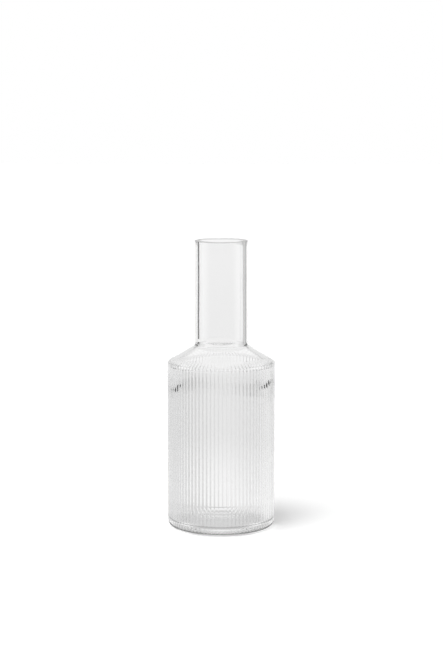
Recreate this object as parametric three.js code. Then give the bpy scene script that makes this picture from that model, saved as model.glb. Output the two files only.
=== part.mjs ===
// A blown glass carafe in one piece: a reeded cylindrical body, a plain conical shoulder and a plain open neck.
// Millimetres, +Z up, with the origin in the middle of the plane that the carafe stands on.
import * as THREE from "three";

// Outside of the glass
const BODY_DIAMETER = 90; // over the crests of the reeds
const BODY_HEIGHT = 140; // standing plane to the shoulder's edge
const SHOULDER_RISE = 14; // shoulder's edge to the foot of the neck
const NECK_DIAMETER = 44;
const NECK_HEIGHT = 88; // foot of the neck to the top of the rim
const FOOT_ROUND = 6.5;
const SHOULDER_EDGE_ROUND = 1.4;
const NECK_FOOT_ROUND = 2.2;

// Lip, cut off square, with the flame only breaking its two edges
const LIP_SWELL = 0.3; // how far the lip leans out from the neck
const LIP_HEIGHT = 4;
const LIP_ROUND = 0.6;

// Underside: a shallow dish inside a flat ring that the carafe stands on
const STANDING_RING_WIDTH = 9;
const DISH_DEPTH = 1.6;

// Thickness of the glass
const NECK_WALL = 3.2;
const SHOULDER_WALL = 2.8;
const BODY_WALL = 2.6; // behind the crests of the reeds
const FLOOR_THICKNESS = 5; // over the standing ring

// Rounds inside
const THROAT_ROUND = 8;
const INNER_SHOULDER_ROUND = 3;
const INNER_FOOT_ROUND = 4;

// Reeds: upright ribs with round crests and sharp valleys, pressed by the mould
const REED_COUNT = 86;
const REED_DEPTH = 0.6;
const REED_RUN_OUT = 9; // length up the shoulder's slope over which a reed fades away

// Facets
const COLUMNS_PER_REED = 4;
const ARC_STEP = THREE.MathUtils.degToRad(31); // most that one facet of a round turns
const RUN_OUT_STEPS = 2;
const DISH_STEPS = 2;

const GLASS = new THREE.MeshStandardMaterial({
  color: 0xf1f4f3,
  roughness: 0.03,
  metalness: 0,
  transparent: true,
  opacity: 0.3,
});

// Places that follow from the sizes above
const bodyRadius = BODY_DIAMETER / 2;
const neckRadius = NECK_DIAMETER / 2;
const boreRadius = neckRadius - NECK_WALL;
const cavityRadius = bodyRadius - BODY_WALL;
const neckFoot = BODY_HEIGHT + SHOULDER_RISE;
const rimHeight = neckFoot + NECK_HEIGHT;
const shoulderEdge = new THREE.Vector2(bodyRadius, BODY_HEIGHT);
const shoulderTop = new THREE.Vector2(neckRadius, neckFoot);
const upSlope = shoulderTop.clone().sub(shoulderEdge).normalize();

// A corner of the profile at radius r and height z, with the round that takes its place.
function corner(r, z, round = 0) {
  return { at: new THREE.Vector2(r, z), round };
}

// Height of the shoulder's inner face at radius r: the slope outside, moved in square to itself by the wall.
function innerSlopeHeight(r) {
  const outside = neckFoot + ((r - neckRadius) * upSlope.y) / upSlope.x;
  return outside + SHOULDER_WALL / upSlope.x;
}

// The dish under the floor, from its middle to the standing ring: a parabola of the radius.
function dishCorners() {
  const ringInside = bodyRadius - FOOT_ROUND - STANDING_RING_WIDTH;
  return Array.from({ length: DISH_STEPS + 1 }, (_, i) => {
    const share = i / DISH_STEPS;
    return corner(ringInside * share, DISH_DEPTH * (1 - share ** 2));
  });
}

// The corners from the middle of the underside, up the outside, over the rim and down the bore to the floor.
function profileCorners() {
  const runOut = Array.from({ length: RUN_OUT_STEPS }, (_, i) => {
    const place = shoulderEdge.clone().addScaledVector(upSlope, (REED_RUN_OUT * (i + 1)) / RUN_OUT_STEPS);
    return corner(place.x, place.y);
  });
  return [
    ...dishCorners(),
    corner(bodyRadius, 0, FOOT_ROUND),
    corner(shoulderEdge.x, shoulderEdge.y, SHOULDER_EDGE_ROUND),
    ...runOut,
    corner(shoulderTop.x, shoulderTop.y, NECK_FOOT_ROUND),
    corner(neckRadius, rimHeight - LIP_HEIGHT),
    corner(neckRadius + LIP_SWELL, rimHeight, LIP_ROUND),
    corner(boreRadius, rimHeight, LIP_ROUND),
    corner(boreRadius, innerSlopeHeight(boreRadius), THROAT_ROUND),
    corner(cavityRadius, innerSlopeHeight(cavityRadius), INNER_SHOULDER_ROUND),
    corner(cavityRadius, FLOOR_THICKNESS, INNER_FOOT_ROUND),
    corner(0, FLOOR_THICKNESS),
  ];
}

// The profile as points with outward normals. Each round is an arc that touches both legs of its corner,
// and is made smaller where a leg is too short for it.
function roundedProfile(corners) {
  const points = [];
  corners.forEach(({ at, round }, i) => {
    const before = corners[i - 1]?.at ?? at;
    const after = corners[i + 1]?.at ?? at;
    const into = at.clone().sub(before).normalize();
    const out = after.clone().sub(at).normalize();
    const turn = Math.atan2(into.cross(out), into.dot(out));
    const half = Math.tan(Math.abs(turn) / 2);
    const reach = Math.min(round * half, at.distanceTo(before) / 2, at.distanceTo(after) / 2);
    if (reach === 0) {
      const along = into.clone().add(out).normalize();
      points.push({ at, normal: new THREE.Vector2(along.y, -along.x) });
      return;
    }
    const radius = (reach / half) * Math.sign(turn);
    const start = at.clone().addScaledVector(into, -reach);
    const centre = new THREE.Vector2(-into.y, into.x).multiplyScalar(radius).add(start);
    const steps = Math.ceil(Math.abs(turn) / ARC_STEP);
    for (let k = 0; k <= steps; k++) {
      const normal = new THREE.Vector2(into.y, -into.x).rotateAround(new THREE.Vector2(), (turn * k) / steps);
      points.push({ at: centre.clone().addScaledVector(normal, radius), normal });
    }
  });
  return points;
}

// How much of its full depth a reed has at a place on the outside: it grows over the foot's round, is whole on
// the wall, and fades up the shoulder's slope. Inside, and under the foot, it is 0.
function reedStrength({ at, normal }) {
  const outside = normal.x > 0 && at.y < neckFoot && at.x > neckRadius;
  if (!outside) return 0;
  const aboveFoot = at.y / FOOT_ROUND;
  const upShoulder = at.clone().sub(shoulderEdge).dot(upSlope);
  return THREE.MathUtils.smoothstep(Math.min(aboveFoot, 1 - upShoulder / REED_RUN_OUT), 0, 1);
}

// Depth of the surface below the crests across one reed, as a share: 0 on the crest in the middle (u = 0.5)
// and 1 in the valleys at both sides (u = 0 and 1), along a parabola.
function reedSection(u) {
  return (2 * u - 1) ** 2;
}

// One ring of the surface: a single point on the axis, a plain ring with a column in each valley, or a reeded
// ring with more columns, whose points sink along the normal by the reed's section.
function ringAt(point) {
  const strength = reedStrength(point);
  const columns = point.at.x === 0 ? 1 : REED_COUNT * (strength > 0 ? COLUMNS_PER_REED : 1);
  return Array.from({ length: columns }, (_, k) => {
    const sink = strength * REED_DEPTH * reedSection((k % COLUMNS_PER_REED) / COLUMNS_PER_REED);
    const { x: r, y: z } = point.at.clone().addScaledVector(point.normal, -sink);
    const angle = (2 * Math.PI * k) / columns;
    return new THREE.Vector3(r * Math.cos(angle), r * Math.sin(angle), z);
  });
}

// Triangles between two rings, of any two column counts: at each step the ring that lags behind moves on.
function zipRings(low, lowStart, high, highStart) {
  const triangles = [];
  const lowSteps = low.length > 1 ? low.length : 0;
  const highSteps = high.length > 1 ? high.length : 0;
  let i = 0;
  let j = 0;
  while (i < lowSteps || j < highSteps) {
    const a = lowStart + (i % low.length);
    const b = highStart + (j % high.length);
    const lowMoves = j === highSteps || (i < lowSteps && (i + 1) * highSteps <= (j + 1) * lowSteps);
    if (lowMoves) {
      i += 1;
      triangles.push(a, lowStart + (i % low.length), b);
    } else {
      j += 1;
      triangles.push(a, highStart + (j % high.length), b);
    }
  }
  return triangles;
}

// The closed skin through all rings, from the middle of the underside to the middle of the floor inside.
function skinThrough(rings) {
  const positions = rings.flat();
  const starts = rings.map((_, i) => rings.slice(0, i).reduce((sum, ring) => sum + ring.length, 0));
  const index = rings.slice(1).flatMap((ring, i) => zipRings(rings[i], starts[i], ring, starts[i + 1]));
  const geometry = new THREE.BufferGeometry().setFromPoints(positions).setIndex(index);
  geometry.computeVertexNormals();
  return geometry;
}

const carafe = new THREE.Mesh(skinThrough(roundedProfile(profileCorners()).map(ringAt)), GLASS);
carafe.name = "carafe";

const part = new THREE.Group();
part.add(carafe);

export default part;
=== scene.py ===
"""Looks of a blown glass carafe with a reeded body, in a plain white studio.

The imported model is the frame. One glass shell, worked out here with its reeds, its uneven blown wall and
its melted lip, takes the place of the plain solid. Lengths are in millimetres unless a name ends in _m, and
meshes are in metres.
"""

from __future__ import annotations

import logging
import math
from dataclasses import dataclass, field
from enum import Enum
from typing import Any

import bpy
import numpy as np
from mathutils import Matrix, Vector

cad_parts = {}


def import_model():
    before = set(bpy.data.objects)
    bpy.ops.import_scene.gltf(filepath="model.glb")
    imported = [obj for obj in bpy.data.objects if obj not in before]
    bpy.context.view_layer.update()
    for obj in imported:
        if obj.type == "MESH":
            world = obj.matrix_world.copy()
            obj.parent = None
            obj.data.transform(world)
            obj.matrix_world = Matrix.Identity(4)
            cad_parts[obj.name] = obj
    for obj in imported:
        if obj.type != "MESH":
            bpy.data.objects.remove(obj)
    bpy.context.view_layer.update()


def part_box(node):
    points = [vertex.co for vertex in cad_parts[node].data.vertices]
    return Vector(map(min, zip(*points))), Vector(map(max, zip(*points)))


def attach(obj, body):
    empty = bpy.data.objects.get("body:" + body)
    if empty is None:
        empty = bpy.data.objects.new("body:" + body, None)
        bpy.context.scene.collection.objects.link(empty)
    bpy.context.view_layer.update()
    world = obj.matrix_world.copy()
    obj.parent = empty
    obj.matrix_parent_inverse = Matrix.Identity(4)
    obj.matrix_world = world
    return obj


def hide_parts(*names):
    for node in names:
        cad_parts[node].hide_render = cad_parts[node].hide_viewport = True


LOG = logging.getLogger("carafe")
MM = 0.001
PHOTO_HEIGHT_PX = 665
SENSOR_MM = 36.0
WHITE = (1.0, 1.0, 1.0, 1.0)
ON_AXIS = 1e-6  # a smaller radius is on the axis
LONG_LEG = 6.0  # a longer straight leg of the profile has a row close to each end, to shade as straight
END_ROW = 0.4  # how close that row is
LIGHT_BOUNCES = 64  # a ray that runs inside the wall meets the glass many times

Array = np.ndarray


def linear(hex_colour: str) -> tuple[float, float, float, float]:
    """Turn an sRGB hex colour into linear values with alpha 1.

    Args:
        hex_colour: six hex digits after a #.

    Returns:
        Red, green, blue and alpha as Blender's sockets take them.
    """
    srgb = np.array([int(hex_colour[i : i + 2], 16) for i in (1, 3, 5)]) / 255
    value = np.where(srgb <= 0.04045, srgb / 12.92, ((srgb + 0.055) / 1.055) ** 2.4)
    return (*value.tolist(), 1.0)


def add_node(
    tree: bpy.types.NodeTree,
    kind: str,
    inputs: dict[str | int, Any] | None = None,
    **settings: Any,
) -> Any:
    """Add a node, set its properties or sockets, and feed its inputs.

    Args:
        tree: the node tree that takes the node.
        kind: the node's type name.
        inputs: input socket name or number to the output socket that feeds it, or to a plain value.
        settings: a property of the node, or an input socket's value, with spaces written as underscores.

    Returns:
        The new node.
    """
    node = tree.nodes.new(kind)
    for name, value in settings.items():
        if hasattr(node, name):
            setattr(node, name, value)
        else:
            node.inputs[name.replace("_", " ")].default_value = value
    for name, source in (inputs or {}).items():
        if isinstance(source, bpy.types.NodeSocket):
            tree.links.new(source, node.inputs[name])
        else:
            node.inputs[name].default_value = source
    return node


def bare_material(name: str) -> tuple[bpy.types.Material, bpy.types.NodeTree]:
    """Make a material whose node tree is empty.

    Args:
        name: the material's name.

    Returns:
        The material and its node tree.
    """
    made = bpy.data.materials.new(name)
    made.use_nodes = True
    made.node_tree.nodes.clear()
    return made, made.node_tree


def mesh_object(name: str, vertices: Array, faces: Array, smooth: bool = True) -> bpy.types.Object:
    """Make an object at the origin from arrays.

    Args:
        name: the object's and mesh's name.
        vertices: (n, 3) places in metres.
        faces: (m, 4) vertex numbers. A triangle repeats its last number.
        smooth: True for smooth shading.

    Returns:
        The object, linked to the scene.
    """
    quads = faces[:, 2] != faces[:, 3]
    polygons = [*faces[quads].tolist(), *faces[~quads][:, :3].tolist()]
    mesh = bpy.data.meshes.new(name)
    mesh.from_pydata(vertices.tolist(), [], polygons)
    mesh.polygons.foreach_set("use_smooth", np.full(len(mesh.polygons), smooth))
    mesh.update()
    made = bpy.data.objects.new(name, mesh)
    bpy.context.scene.collection.objects.link(made)
    return made


@dataclass(frozen=True)
class Corner:
    """A corner of the profile, in millimetres, with the round that takes its place.

    rows counts the even steps of the straight leg that leads to the corner.
    """

    r: float
    z: float
    round: float = 0.0
    rows: int = 1


def rounded_profile(corners: list[Corner], arc_step_deg: float) -> tuple[Array, Array]:
    """Round off a chain of corners and give its outward normals.

    Each round is the arc that touches both legs of its corner, made smaller where half a leg is too short for
    it. Straight legs are cut into even rows, and long ones get a row close to each end.

    Args:
        corners: the chain, in the order that keeps the glass on its left.
        arc_step_deg: most that one step of an arc turns.

    Returns:
        (n, 2) radii and heights, and (n, 2) unit normals that point out of the glass.
    """
    places = np.array([(c.r, c.z) for c in corners])
    chain: list[Array] = []
    normals: list[Array] = []
    for i, corner in enumerate(corners):
        at = places[i]
        into = at - places[i - 1] if i else places[1] - at
        out = places[i + 1] - at if i + 1 < len(corners) else into
        reach_in, reach_out = np.linalg.norm(into), np.linalg.norm(out)
        into, out = into / reach_in, out / reach_out
        turn = math.atan2(into[0] * out[1] - into[1] * out[0], into @ out)
        half = math.tan(abs(turn) / 2)
        reach = min(corner.round * half, reach_in / 2, reach_out / 2)
        steps = math.ceil(abs(turn) / math.radians(arc_step_deg)) if reach > 0 else 0
        turned = np.linspace(0, turn, steps + 1) if steps else np.array([turn / 2])
        start = math.atan2(-into[0], into[1])
        normal = np.stack([np.cos(start + turned), np.sin(start + turned)], 1)
        radius = math.copysign(reach / half, turn) if steps else 0.0
        centre = at - into * reach - normal[0] * radius if steps else at
        arc = centre + normal * radius
        leg = np.linalg.norm(arc[0] - chain[-1][-1]) if chain else 0.0
        ends = [END_ROW / leg, 1 - END_ROW / leg] if leg > LONG_LEG else []
        share = np.sort([*np.linspace(0, 1, corner.rows + 1)[1:-1], *ends])[:, None]
        if chain and len(share):
            chain.append(chain[-1][-1] * (1 - share) + arc[0] * share)
            normals.append(np.repeat([[into[1], -into[0]]], len(share), 0))
        chain.append(arc)
        normals.append(normal)
    return np.concatenate(chain), np.concatenate(normals)


class GlassZone(Enum):
    """Which glass a face of the shell has: clear glass, and grey glass of painted shade at the foot and at
    the lip. The value is its material slot.
    """

    CLEAR = 0
    FOOT_PAINTED_SHADE = 1
    LIP_PAINTED_SHADE = 2


@dataclass(frozen=True)
class GlassFinish:
    """Clear soda-lime glass, blown in a mould and smoothed in the flame: bright, colourless and faintly wavy.
    """

    name: str = "clear_soda_lime_glass"
    tint_and_painted_shade: str = "#FCFCFC"
    ior: float = 1.5
    roughness: float = 0.0
    wave: float = 14.0
    wave_height: float = 0.02

    def material(self) -> bpy.types.Material:
        """Build the glass: full transmission, with the slow waviness of blown glass as a fine bump.

        Returns:
            The material.
        """
        made, tree = bare_material(self.name)
        place = add_node(tree, "ShaderNodeTexCoord")
        wave = add_node(
            tree,
            "ShaderNodeTexNoise",
            {"Vector": place.outputs["Object"]},
            Scale=1 / (self.wave * MM),
            Detail=1.0,
        )
        bump = add_node(
            tree,
            "ShaderNodeBump",
            {"Height": wave.outputs["Fac"]},
            Distance=self.wave_height * MM,
            Strength=1.0,
        )
        glass = add_node(
            tree,
            "ShaderNodeBsdfPrincipled",
            {"Normal": bump.outputs["Normal"]},
            Base_Color=linear(self.tint_and_painted_shade),
            Roughness=self.roughness,
            IOR=self.ior,
            Transmission_Weight=1.0,
        )
        add_node(tree, "ShaderNodeOutputMaterial", {"Surface": glass.outputs["BSDF"]})
        return made


@dataclass(frozen=True)
class PaintedShadeGlass:
    """The same glass, tinted grey as painted shade on an edge.

    At the foot it paints the contact shadow round the edge where the carafe stands, and at the lip the dark
    arcs of light run down inside the wall. It passes less light to the eye, so that the edge is drawn as a
    grey line.
    """

    name: str
    tint_and_painted_shade: str
    ior: float = 1.5
    roughness: float = 0.0

    def material(self) -> bpy.types.Material:
        """Build the glass of the edge, tinted grey at each crossing as painted shade.

        Returns:
            The material.
        """
        made, tree = bare_material(self.name)
        glass = add_node(
            tree,
            "ShaderNodeBsdfGlass",
            Color=linear(self.tint_and_painted_shade),
            Roughness=self.roughness,
            IOR=self.ior,
        )
        add_node(tree, "ShaderNodeOutputMaterial", {"Surface": glass.outputs["BSDF"]})
        return made


@dataclass
class Reeds:
    """Upright ribs that the mould presses into the body, fading out over the foot and on the shoulder."""

    count: int = 86
    depth: float = 0.6
    run_out: float = 9.0
    plain_foot: float = 1.0
    run_in: float = 4.0
    columns: int = 8

    def section(self, share: Array) -> Array:
        """Depth below the crest across one reed: a parabola, 0 on the crest half way and 1 in the valleys.

        Args:
            share: place across the reed, from 0 to 1.

        Returns:
            The depth as a share of the full depth.
        """
        return (2 * share - 1) ** 2

    def strength(self, height: Array, past_edge: Array) -> Array:
        """How much of its depth a reed has: a smooth step up above the plain foot, and one down the shoulder.

        Args:
            height: height above the standing plane.
            past_edge: length up the slope past the shoulder's edge.

        Returns:
            Shares from 0 to 1.
        """
        share = np.minimum((height - self.plain_foot) / self.run_in, 1 - past_edge / self.run_out)
        share = np.clip(share, 0, 1)
        return share * share * (3 - 2 * share)


@dataclass
class Unevenness:
    """How a blown wall wanders inside: the bore sits off the axis and the glass is thicker in slow waves.

    A wave goes a whole number of times round the axis, winds with the height, and swells and dies along it.
    """

    neck_offset: float = 0.05
    neck_depth: float = 0.08
    neck_turns: int = 2
    neck_winding: float = 23.0
    neck_length: float = 11.0
    neck_phase: float = 1.3
    body_depth: float = 0.1
    body_turns: int = 3
    body_winding: float = 31.0
    body_length: float = 17.0
    still_ends: float = 12.0

    def sink(self, angle: Array, height: Array, neck_share: Array) -> Array:
        """How far the inner face moves into the cavity, in millimetres.

        In the neck it is the offset times the cosine of the angle plus a product of slow waves round and
        along the neck; in the body it is waves alone.

        Args:
            angle: angle round the axis.
            height: height in millimetres.
            neck_share: 1 in the neck, 0 in the body, with an even change up the shoulder.

        Returns:
            The movement, positive towards the axis.
        """
        neck_round = np.sin(self.neck_turns * angle + height / self.neck_winding)
        neck_along = np.sin(height / self.neck_length + self.neck_phase)
        neck = -self.neck_offset * np.cos(angle) + self.neck_depth * neck_round * neck_along
        body_round = np.sin(self.body_turns * angle + height / self.body_winding)
        body = self.body_depth * body_round * np.sin(height / self.body_length)
        return neck * neck_share + body * (1 - neck_share)

    def fade(self, below_rim: Array, above_floor: Array) -> Array:
        """Share of the movement that is left near the rim and the floor: an even rise away from each.

        Args:
            below_rim: height below the rim.
            above_floor: height above the floor.

        Returns:
            Shares from 0 to 1.
        """
        return np.clip(below_rim / self.still_ends, 0, 1) * np.clip(above_floor / self.still_ends, 0, 1)


@dataclass
class Carafe:
    """The one piece of glass: foot, reeded body, shoulder, neck and lip."""

    body_radius: float
    height: float
    shoulder_edge: float = 140.0
    shoulder_rise: float = 14.0
    neck_radius: float = 22.0
    foot_round: float = 5.45
    edge_round: float = 1.4
    neck_foot_round: float = 2.2
    lip_swell: float = 0.3
    lip_height: float = 4.0
    lip_round: float = 0.6
    dish_radius: float = 25.5
    dish_depth: float = 1.6
    neck_wall: float = 3.2
    shoulder_wall: float = 2.8
    body_wall: float = 2.6
    floor: float = 5.5
    throat_round: float = 8.0
    inner_shoulder_round: float = 3.0
    inner_foot_round: float = 4.0
    arc_step_deg: float = 7.5
    dish_rows: int = 6
    wall_start: float = 10.9  # the foot's round shades into the wall up to here
    fade_from: float = 0.3
    fade_rows: int = 8
    bore_rows: int = 10
    cavity_rows: int = 8
    floor_rows: int = 2
    # Ring of grey glass that paints the contact shadow round the foot: inner radius, lower and upper edge,
    # higher at the sides
    foot_shade_ring: float = 34.5
    foot_shade_from: float = 1.2
    foot_shade_to: float = 2.5
    foot_shade_side: float = 4.4
    foot_shade_power: int = 6
    # Depth below the rim of the band of grey glass, painted shade for the dark arcs that the lip shows
    lip_shade_band: float = 1.6
    reeds: Reeds = field(default_factory=Reeds)
    unevenness: Unevenness = field(default_factory=Unevenness)
    finish: GlassFinish = GlassFinish()
    # Grey glass of painted shade: the contact shadow round the foot
    foot_painted_shade: PaintedShadeGlass = PaintedShadeGlass("foot_painted_shade_glass", "#B8B8B8")
    # Grey glass of painted shade: the dark arcs of light run down inside the wall at the lip
    lip_painted_shade: PaintedShadeGlass = PaintedShadeGlass("lip_painted_shade_glass", "#E6E6E6")

    @property
    def neck_foot(self) -> float:
        """Height where the shoulder's slope meets the neck."""
        return self.shoulder_edge + self.shoulder_rise

    @property
    def slope(self) -> Array:
        """Unit step up the shoulder, from its edge to the neck."""
        step = np.array([self.neck_radius - self.body_radius, self.shoulder_rise])
        return step / np.linalg.norm(step)

    def inner_slope(self, radius: float) -> float:
        """Height of the shoulder's inner face at a radius: the outer slope, moved in by the wall."""
        along, up = self.slope
        return self.neck_foot + (radius - self.neck_radius) * up / along + self.shoulder_wall / along

    def outer_corners(self) -> list[Corner]:
        """Give the corners outside: a dish that is a parabola of the radius, the foot, the wall and the neck.

        Returns:
            Corners from the middle of the underside to the lower end of the lip.
        """
        edge = np.array([self.body_radius, self.shoulder_edge])
        dish = [
            Corner(self.dish_radius * share, self.dish_depth * (1 - share * share))
            for share in np.linspace(0, 1, self.dish_rows)
        ]
        fade = [
            Corner(*(edge + self.slope * self.reeds.run_out * share))
            for share in np.linspace(self.fade_from, 1, self.fade_rows)
        ]
        return [
            *dish,
            Corner(self.body_radius, 0, self.foot_round),
            Corner(self.body_radius, self.wall_start),
            Corner(*edge, self.edge_round),
            *fade,
            Corner(self.neck_radius, self.neck_foot, self.neck_foot_round),
            Corner(self.neck_radius, self.height - self.lip_height),
        ]

    def inner_corners(self) -> list[Corner]:
        """Give the corners inside.

        Returns:
            Corners from the lip, down the bore and the cavity's wall, to the middle of the floor.
        """
        bore = self.neck_radius - self.neck_wall
        cavity = self.body_radius - self.body_wall
        return [
            Corner(self.neck_radius + self.lip_swell, self.height, self.lip_round),
            Corner(bore, self.height, self.lip_round),
            Corner(bore, self.inner_slope(bore), self.throat_round, self.bore_rows),
            Corner(cavity, self.inner_slope(cavity), self.inner_shoulder_round),
            Corner(cavity, self.floor, self.inner_foot_round, self.cavity_rows),
            Corner(0, self.floor, rows=self.floor_rows),
        ]

    def surface(self) -> tuple[Array, Array]:
        """Work out the closed glass surface on a grid of profile rows and columns round the axis.

        Each point is the profile's point moved along its normal: in by the reed's section times its strength
        outside, and by the wall's unevenness inside. It is then turned about the axis.

        Returns:
            (n, 3) vertices in metres, and (m, 4) faces.
        """
        profile, normal = rounded_profile(self.outer_corners() + self.inner_corners(), self.arc_step_deg)
        r, z = profile.T
        is_inside = np.arange(len(profile)) > np.argmax(z)
        count = self.reeds.count * self.reeds.columns
        column = np.arange(count)
        angle = 2 * np.pi * column / count

        section = self.reeds.section((column % self.reeds.columns) / self.reeds.columns)
        past_edge = (profile - [self.body_radius, self.shoulder_edge]) @ self.slope
        reeded = ~is_inside & (normal[:, 0] > 0) & (z < self.neck_foot)
        strength = self.reeds.strength(z, past_edge) * reeded
        sink = self.reeds.depth * strength[:, None] * section[None, :]

        neck_share = np.clip((z - self.shoulder_edge) / self.shoulder_rise, 0, 1)
        wander = self.unevenness.sink(angle[None, :], z[:, None], neck_share[:, None])
        fade = self.unevenness.fade(self.height - z, z - self.floor)
        sink = sink + wander * (is_inside * fade * np.sign(normal[:, 0]))[:, None]

        moved = profile[:, None, :] - normal[:, None, :] * sink[:, :, None]
        rho = np.where(r[:, None] < ON_AXIS, 0.0, moved[..., 0])
        grid = np.stack([rho * np.cos(angle), rho * np.sin(angle), moved[..., 1]], -1)
        return self.close(grid * MM)

    @staticmethod
    def close(grid: Array) -> tuple[Array, Array]:
        """Close a grid whose first and last rows lie on the axis into one skin.

        Args:
            grid: (rows, columns, 3) places.

        Returns:
            (n, 3) vertices and (m, 4) faces, with one vertex at each pole.
        """
        rows, columns = grid.shape[0] - 2, grid.shape[1]
        vertices = np.concatenate([grid[1:-1].reshape(-1, 3), grid[0, :1], grid[-1, :1]])
        here = np.arange(rows * columns).reshape(rows, columns)
        beside = np.roll(here, -1, 1)
        skin = np.stack([here[:-1], beside[:-1], beside[1:], here[1:]], -1).reshape(-1, 4)
        under, over = rows * columns, rows * columns + 1
        below = np.stack([np.full(columns, under), beside[0], here[0], here[0]], -1)
        above = np.stack([here[-1], beside[-1], np.full(columns, over), np.full(columns, over)], -1)
        return vertices, np.concatenate([skin, below, above])

    def build(self) -> bpy.types.Object:
        """Make the glass shell, ride it on the frame and let it stand for the CAD solid.

        Returns:
            The shell.
        """
        shell = mesh_object("glass_shell", *self.surface())
        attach(shell, "root")
        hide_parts("carafe")
        return shell

    def dress(self, shell: bpy.types.Object) -> None:
        """Give the shell its glass: clear, with a ring of grey glass at the foot and a band of it at the lip.

        The grey glass is painted shade: at the foot the contact shadow round its edge, and at the lip the
        dark arcs of light run down inside the wall. The ring is widest at both sides: its upper edge rises
        from foot_shade_to to foot_shade_side by a power of the share of X in the way from the axis.

        Args:
            shell: the glass shell.
        """
        glass_and_painted_shades = {
            GlassZone.CLEAR: self.finish,
            GlassZone.FOOT_PAINTED_SHADE: self.foot_painted_shade,
            GlassZone.LIP_PAINTED_SHADE: self.lip_painted_shade,
        }
        for zone in GlassZone:
            shell.data.materials.append(glass_and_painted_shades[zone].material())
        faces = shell.data.polygons
        centre = np.empty(3 * len(faces), np.float32)
        faces.foreach_get("center", centre)
        x, y, z = centre.reshape(-1, 3).T
        out = np.hypot(x, y)
        aside = np.abs(x) / out
        top = self.foot_shade_to + (self.foot_shade_side - self.foot_shade_to) * aside**self.foot_shade_power
        painted_foot_shade = (out > self.foot_shade_ring * MM) & (z > self.foot_shade_from * MM) & (z < top * MM)
        lip_shade_band = z > (self.height - self.lip_shade_band) * MM
        zones = np.where(painted_foot_shade, GlassZone.FOOT_PAINTED_SHADE.value, GlassZone.CLEAR.value)
        zones = np.where(lip_shade_band, GlassZone.LIP_PAINTED_SHADE.value, zones)
        faces.foreach_set("material_index", zones.astype(np.int32))


@dataclass
class Viewpoint:
    """The photograph's camera, as fitted to the carafe's outline."""

    distance: float = 1476.0
    height: float = 361.6
    aside: float = 0.25
    pitch_deg: float = 7.61
    focal_px: float = 1775.5
    reach_m: float = 100.0

    def build(self) -> bpy.types.Object:
        """Make the camera.

        Returns:
            The camera, set as the scene's.
        """
        data = bpy.data.cameras.new("camera")
        data.sensor_width = SENSOR_MM
        data.lens = self.focal_px * SENSOR_MM / PHOTO_HEIGHT_PX
        data.clip_end = self.reach_m
        camera = bpy.data.objects.new("camera", data)
        camera.location = Vector((self.aside, -self.distance, self.height)) * MM
        camera.rotation_euler = (math.radians(90 - self.pitch_deg), 0, 0)
        bpy.context.scene.collection.objects.link(camera)
        bpy.context.scene.camera = camera
        return camera


@dataclass
class Card:
    """A card of black or grey paper, a piece of an upright drum round the axis, that only the glass sees."""

    from_deg: float
    to_deg: float
    radius_m: float
    height_m: float
    colour: str
    steps: int = 12

    def build(self, number: int) -> bpy.types.Object:
        """Stand the card on the floor.

        Args:
            number: the card's number.

        Returns:
            The card.
        """
        turn = np.radians(np.linspace(self.from_deg, self.to_deg, self.steps + 1))
        foot = np.stack([np.cos(turn), np.sin(turn), np.zeros_like(turn)], 1) * self.radius_m
        top = foot + [0, 0, self.height_m]
        low = np.arange(self.steps)
        high = low + self.steps + 1
        faces = np.stack([low, low + 1, high + 1, high], 1)
        made = mesh_object(f"card_{number}", np.concatenate([foot, top]), faces, smooth=False)
        made.visible_camera = False
        made.visible_diffuse = False
        made.visible_shadow = False
        return made

    def dress(self, made: bpy.types.Object) -> None:
        """Give the card a paper that looks the same from everywhere."""
        paper, tree = bare_material(f"{made.name}_paper")
        flat = add_node(tree, "ShaderNodeEmission", Color=linear(self.colour), Strength=1.0)
        add_node(tree, "ShaderNodeOutputMaterial", {"Surface": flat.outputs["Emission"]})
        made.data.materials.append(paper)


@dataclass(frozen=True)
class Ramp:
    """A smooth step from one level to another, along a share or a distance in metres."""

    start: float
    end: float
    level: float = 0.0
    end_level: float = 1.0

    def settings(self) -> dict[str, Any]:
        """Give the settings of a Map Range node that follows the ramp.

        Returns:
            Settings by name, as add_node takes them.
        """
        return {
            "From_Min": self.start,
            "From_Max": self.end,
            "To_Min": self.level,
            "To_Max": self.end_level,
            "interpolation_type": "SMOOTHSTEP",
        }


def glass_ray(tree: bpy.types.NodeTree, path: Any) -> Any:
    """Give 1 for a ray that the glass has bent or mirrored, and 0 for any other.

    Args:
        tree: the node tree to add to.
        path: its Light Path node.

    Returns:
        The output socket.
    """
    bent, mirrored = path.outputs["Is Transmission Ray"], path.outputs["Is Glossy Ray"]
    return add_node(tree, "ShaderNodeMath", {0: bent, 1: mirrored}, operation="MAXIMUM").outputs[0]


def way_from_axis(tree: bpy.types.NodeTree, place: Any) -> tuple[Any, Any, Any]:
    """Give the shares of X and Y in the way from the axis to a place, and its distance.

    Args:
        tree: the node tree to add to.
        place: the output socket with a place on the floor, or a way into the sky.

    Returns:
        The output sockets with the share of X, the share of Y and the distance.
    """
    way = add_node(tree, "ShaderNodeVectorMath", {0: place}, operation="NORMALIZE")
    share = add_node(tree, "ShaderNodeSeparateXYZ", {0: way.outputs["Vector"]})
    far = add_node(tree, "ShaderNodeVectorMath", {0: place}, operation="LENGTH")
    return share.outputs["X"], share.outputs["Y"], far.outputs["Value"]


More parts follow.
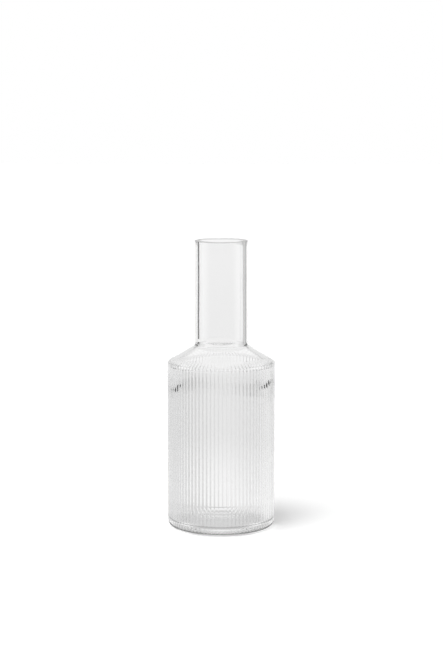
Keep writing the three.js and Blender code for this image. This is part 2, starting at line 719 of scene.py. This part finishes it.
@dataclass(frozen=True)
class FloorGlow:
    """How bright the floor is where it is seen in or through the glass, and close beside the foot.

    Ramps with names that end in left, right, front or side run along the share of X or Y in the way from the
    axis, and the others along the distance.
    """

    paper: float = 0.68
    pool: float = 0.37
    left: Ramp = Ramp(-0.05, -0.4, 1.0, 0.15)
    right: Ramp = Ramp(0.05, 0.4, 1.0, 0.6)
    sides_end: Ramp = Ramp(0.7, 1.1)
    fall: Ramp = Ramp(0.17, 0.42, 1.15, 0.75)
    rise: Ramp = Ramp(0.6, 2.6, 0.0, 0.1)
    foot_front: Ramp = Ramp(-0.95, -0.6, 0.54, 1.0)
    foot_side: Ramp = Ramp(0.8, 0.97, end_level=0.7)
    under_end: Ramp = Ramp(0.031, 0.037, level=0.65)
    foot_end: Ramp = Ramp(0.041, 0.051)
    beside: float = 0.3
    beside_side: Ramp = Ramp(0.4, 0.85)
    beside_front: Ramp = Ramp(0.2, -0.2)
    beside_end: Ramp = Ramp(0.042, 0.054, end_level=0.0)

    def away(self, tree: bpy.types.NodeTree, share_x: Any, far: Any) -> Any:
        """Level away from the foot: the paper's own, plus a pool of light behind and in front of the carafe.

        The pool is dimmed to the left and right out to sides_end, falls off near the carafe and rises a
        little far away.

        Args:
            tree: the node tree to add to.
            share_x: the output socket with the share of X.
            far: the output socket with the distance.

        Returns:
            The output socket.
        """
        left = add_node(tree, "ShaderNodeMapRange", {"Value": share_x}, **self.left.settings())
        right = add_node(tree, "ShaderNodeMapRange", {"Value": share_x}, **self.right.settings())
        dimmed = add_node(
            tree,
            "ShaderNodeMath",
            {0: left.outputs["Result"], 1: right.outputs["Result"]},
            operation="MULTIPLY",
        )
        sides = add_node(
            tree,
            "ShaderNodeMapRange",
            {"Value": far, "To Min": dimmed.outputs[0]},
            **self.sides_end.settings(),
        )
        fall = add_node(tree, "ShaderNodeMapRange", {"Value": far}, **self.fall.settings())
        rise = add_node(tree, "ShaderNodeMapRange", {"Value": far}, **self.rise.settings())
        along = add_node(
            tree,
            "ShaderNodeMath",
            {0: fall.outputs["Result"], 1: rise.outputs["Result"]},
            operation="ADD",
        )
        pool = add_node(
            tree,
            "ShaderNodeMath",
            {0: sides.outputs["Result"], 1: along.outputs[0]},
            operation="MULTIPLY",
        )
        level = add_node(
            tree,
            "ShaderNodeMath",
            {0: pool.outputs[0], 1: self.pool, 2: self.paper},
            operation="MULTIPLY_ADD",
        )
        return level.outputs[0]

    def at_foot(self, tree: bpy.types.NodeTree, share_x: Any, share_y: Any, far: Any) -> Any:
        """Level under the carafe, and in the ring round its foot: a painted contact shadow, darker in front
        and at the sides.

        Args:
            tree: the node tree to add to.
            share_x: the output socket with the share of X.
            share_y: the output socket with the share of Y.
            far: the output socket with the distance.

        Returns:
            The output socket.
        """
        front = add_node(tree, "ShaderNodeMapRange", {"Value": share_y}, **self.foot_front.settings())
        aside = add_node(tree, "ShaderNodeMath", {0: share_x}, operation="ABSOLUTE")
        ring = add_node(
            tree,
            "ShaderNodeMapRange",
            {"Value": aside.outputs[0], "To Min": front.outputs["Result"]},
            **self.foot_side.settings(),
        )
        level = add_node(
            tree,
            "ShaderNodeMapRange",
            {"Value": far, "To Max": ring.outputs["Result"]},
            **self.under_end.settings(),
        )
        return level.outputs["Result"]

    def in_glass(self, tree: bpy.types.NodeTree, place: Any) -> Any:
        """Level of the floor to a ray that the glass has bent or mirrored.

        Args:
            tree: the node tree to add to.
            place: the output socket with a place on the floor.

        Returns:
            The output socket.
        """
        share_x, share_y, far = way_from_axis(tree, place)
        past_foot = add_node(tree, "ShaderNodeMapRange", {"Value": far}, **self.foot_end.settings())
        level = add_node(
            tree,
            "ShaderNodeMapRange",
            {
                "Value": past_foot.outputs["Result"],
                "To Min": self.at_foot(tree, share_x, share_y, far),
                "To Max": self.away(tree, share_x, far),
            },
        )
        return level.outputs["Result"]

    def beside_foot(self, tree: bpy.types.NodeTree, place: Any) -> Any:
        """Give 1 on the floor close beside the foot, where its round gathers light, and 0 elsewhere.

        Args:
            tree: the node tree to add to.
            place: the output socket with a place on the floor.

        Returns:
            The output socket.
        """
        share_x, share_y, far = way_from_axis(tree, place)
        aside = add_node(tree, "ShaderNodeMath", {0: share_x}, operation="ABSOLUTE")
        side = add_node(
            tree,
            "ShaderNodeMapRange",
            {"Value": aside.outputs[0]},
            **self.beside_side.settings(),
        )
        front = add_node(
            tree,
            "ShaderNodeMapRange",
            {"Value": share_y, "To Max": side.outputs["Result"]},
            **self.beside_front.settings(),
        )
        near = add_node(
            tree,
            "ShaderNodeMapRange",
            {"Value": far, "To Min": front.outputs["Result"]},
            **self.beside_end.settings(),
        )
        return near.outputs["Result"]


@dataclass
class Studio:
    """A white floor that runs on without an edge, a wide soft lamp, and cards that draw the glass's edges."""

    floor_colour: str = "#D6D6D6"
    floor_half_m: float = 8.0
    camera_glow: float = 0.41
    mirrored_level: float = 0.41
    floor_glow: FloorGlow = FloorGlow()
    front: Ramp = Ramp(0.1, -0.6)
    front_start: Ramp = Ramp(0.031, 0.093)
    sky_back: float = 1.0
    sky_front: float = 0.6
    ambient: float = 0.33
    lamp: float = 2.3
    lamp_from_deg: float = 230.0
    lamp_up_deg: float = 69.5
    lamp_width_deg: float = 27.0
    cards: tuple[Card, ...] = (
        # Near cards: the lines of the neck
        Card(from_deg=132.0, to_deg=150.0, radius_m=1.05, height_m=0.4, colour="#0A0A0A"),
        Card(from_deg=30.0, to_deg=62.0, radius_m=1.06, height_m=0.4, colour="#D0D0D0"),
        Card(from_deg=58.5, to_deg=64.5, radius_m=1.05, height_m=0.4, colour="#303030"),
        # Low strips: the smudges below the shoulder's edge
        Card(from_deg=142.0, to_deg=165.0, radius_m=0.75, height_m=0.004, colour="#202020"),
        Card(from_deg=18.0, to_deg=48.0, radius_m=0.77, height_m=0.005, colour="#202020"),
        Card(from_deg=112.0, to_deg=135.0, radius_m=0.7, height_m=0.016, colour="#B4B4B4"),
        Card(from_deg=45.0, to_deg=68.0, radius_m=0.66, height_m=0.016, colour="#B4B4B4"),
        # Far walls: the grey sides of the shoulder and its fine strokes
        Card(from_deg=110.0, to_deg=160.0, radius_m=7.0, height_m=3.5, colour="#B8B8B8"),
        Card(from_deg=20.0, to_deg=70.0, radius_m=7.0, height_m=3.5, colour="#B8B8B8"),
        Card(from_deg=97.0, to_deg=110.0, radius_m=7.0, height_m=3.5, colour="#E8E8E8"),
        Card(from_deg=70.0, to_deg=83.0, radius_m=7.0, height_m=3.5, colour="#E8E8E8"),
    )

    def in_front(self, tree: bpy.types.NodeTree, place: Any) -> Any:
        """Give 1 in front of the carafe and 0 behind it, by the share of -Y in the way from the axis.

        Args:
            tree: the node tree to add to.
            place: the output socket with a place on the floor, or a way into the sky.

        Returns:
            The output socket.
        """
        _, share_y, far = way_from_axis(tree, place)
        front = add_node(tree, "ShaderNodeMapRange", {"Value": share_y}, **self.front.settings())
        start = add_node(tree, "ShaderNodeMapRange", {"Value": far}, **self.front_start.settings())
        both = add_node(
            tree,
            "ShaderNodeMath",
            {0: front.outputs["Result"], 1: start.outputs["Result"]},
            operation="MULTIPLY",
        )
        return both.outputs[0]

    def build_world(self) -> None:
        """Fill the world with white for the camera and the glass, and with an even soft light."""
        world = bpy.data.worlds.new("studio")
        bpy.context.scene.world = world
        world.use_nodes = True
        tree = world.node_tree
        tree.nodes.clear()
        path = add_node(tree, "ShaderNodeLightPath")
        place = add_node(tree, "ShaderNodeTexCoord").outputs["Generated"]
        in_glass = add_node(
            tree,
            "ShaderNodeMapRange",
            {"Value": self.in_front(tree, place)},
            To_Min=self.sky_back,
            To_Max=self.sky_front,
        )
        level = add_node(
            tree,
            "ShaderNodeMapRange",
            {"Value": glass_ray(tree, path), "To Max": in_glass.outputs["Result"]},
            To_Min=self.ambient,
        )
        seen = add_node(
            tree,
            "ShaderNodeMath",
            {0: level.outputs["Result"], 1: path.outputs["Is Camera Ray"]},
            operation="MAXIMUM",
        )
        sky = add_node(tree, "ShaderNodeBackground", {"Strength": seen.outputs[0]}, Color=WHITE)
        add_node(tree, "ShaderNodeOutputWorld", {"Surface": sky.outputs["Background"]})

    def build_floor(self) -> bpy.types.Object:
        """Lay the floor.

        Returns:
            The floor.
        """
        half = self.floor_half_m
        square = np.array([(-half, -half, 0), (half, -half, 0), (half, half, 0), (-half, half, 0)], float)
        floor = mesh_object("floor", square, np.array([[0, 1, 2, 3]]), smooth=False)
        return floor

    def dress_floor(self, floor: bpy.types.Object) -> None:
        """Give the floor its matt pale paper, which keeps the shadow and is lifted to white as a background.

        To a ray that the glass has bent or mirrored, the paper only glows, without grain from the lamp. In
        front of the carafe it is dim to a mirrored ray, as a room behind a camera is.

        Args:
            floor: the floor.
        """
        paper, tree = bare_material("white_paper")
        path = add_node(tree, "ShaderNodeLightPath")
        place = add_node(tree, "ShaderNodeTexCoord").outputs["Object"]
        glass = glass_ray(tree, path)
        in_glass = add_node(
            tree,
            "ShaderNodeMath",
            {0: glass, 1: self.floor_glow.in_glass(tree, place)},
            operation="MULTIPLY",
        )
        lifted = add_node(
            tree,
            "ShaderNodeMath",
            {0: self.floor_glow.beside_foot(tree, place), 1: self.floor_glow.beside, 2: self.camera_glow},
            operation="MULTIPLY_ADD",
        )
        direct = add_node(
            tree,
            "ShaderNodeMath",
            {0: path.outputs["Is Camera Ray"], 1: lifted.outputs[0]},
            operation="MULTIPLY",
        )
        level = add_node(
            tree,
            "ShaderNodeMath",
            {0: in_glass.outputs[0], 1: direct.outputs[0]},
            operation="ADD",
        )
        glow = add_node(tree, "ShaderNodeEmission", {"Strength": level.outputs[0]}, Color=WHITE)
        lit = add_node(tree, "ShaderNodeBsdfDiffuse", Color=linear(self.floor_colour))
        matt = add_node(tree, "ShaderNodeMixShader", {0: glass, 1: lit.outputs[0]})
        bright = add_node(tree, "ShaderNodeAddShader", {0: matt.outputs[0], 1: glow.outputs[0]})
        dim = add_node(tree, "ShaderNodeEmission", Color=WHITE, Strength=self.mirrored_level)
        mirrored = add_node(
            tree,
            "ShaderNodeMath",
            {0: path.outputs["Glossy Depth"], 1: self.in_front(tree, place)},
            operation="MULTIPLY",
            use_clamp=True,
        )
        seen = add_node(
            tree,
            "ShaderNodeMixShader",
            {0: mirrored.outputs[0], 1: bright.outputs[0], 2: dim.outputs[0]},
        )
        add_node(tree, "ShaderNodeOutputMaterial", {"Surface": seen.outputs[0]})
        floor.data.materials.append(paper)

    def build_lamp(self) -> None:
        """Light the stage evenly from a wide soft lamp, high on the left and a little in front."""
        data = bpy.data.lights.new("soft_lamp", "SUN")
        data.energy = self.lamp
        data.angle = math.radians(self.lamp_width_deg)
        lamp = bpy.data.objects.new("soft_lamp", data)
        turn, up = math.radians(self.lamp_from_deg), math.radians(self.lamp_up_deg)
        towards = Vector((math.cos(turn) * math.cos(up), math.sin(turn) * math.cos(up), math.sin(up)))
        lamp.rotation_euler = towards.to_track_quat("Z", "Y").to_euler()
        lamp.visible_glossy = False
        lamp.visible_transmission = False
        bpy.context.scene.collection.objects.link(lamp)

    def build(self) -> None:
        """Set up world, floor, cards and lamp, and the plain view transform."""
        self.build_world()
        self.dress_floor(self.build_floor())
        for number, card in enumerate(self.cards):
            card.dress(card.build(number))
        self.build_lamp()
        scene = bpy.context.scene
        scene.view_settings.view_transform = "Standard"
        scene.cycles.max_bounces = LIGHT_BOUNCES
        scene.cycles.glossy_bounces = LIGHT_BOUNCES
        scene.cycles.transmission_bounces = LIGHT_BOUNCES


def main() -> None:
    """Load the frame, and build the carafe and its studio."""
    logging.basicConfig(level=logging.INFO, format="%(message)s")
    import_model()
    low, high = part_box("carafe")
    carafe = Carafe(body_radius=(high.y - low.y) / 2 / MM, height=high.z / MM)
    shell = carafe.build()
    carafe.dress(shell)
    LOG.info("%s: %d faces", shell.name, len(shell.data.polygons))
    Studio().build()
    Viewpoint().build()


if __name__ == "__main__":
    main()
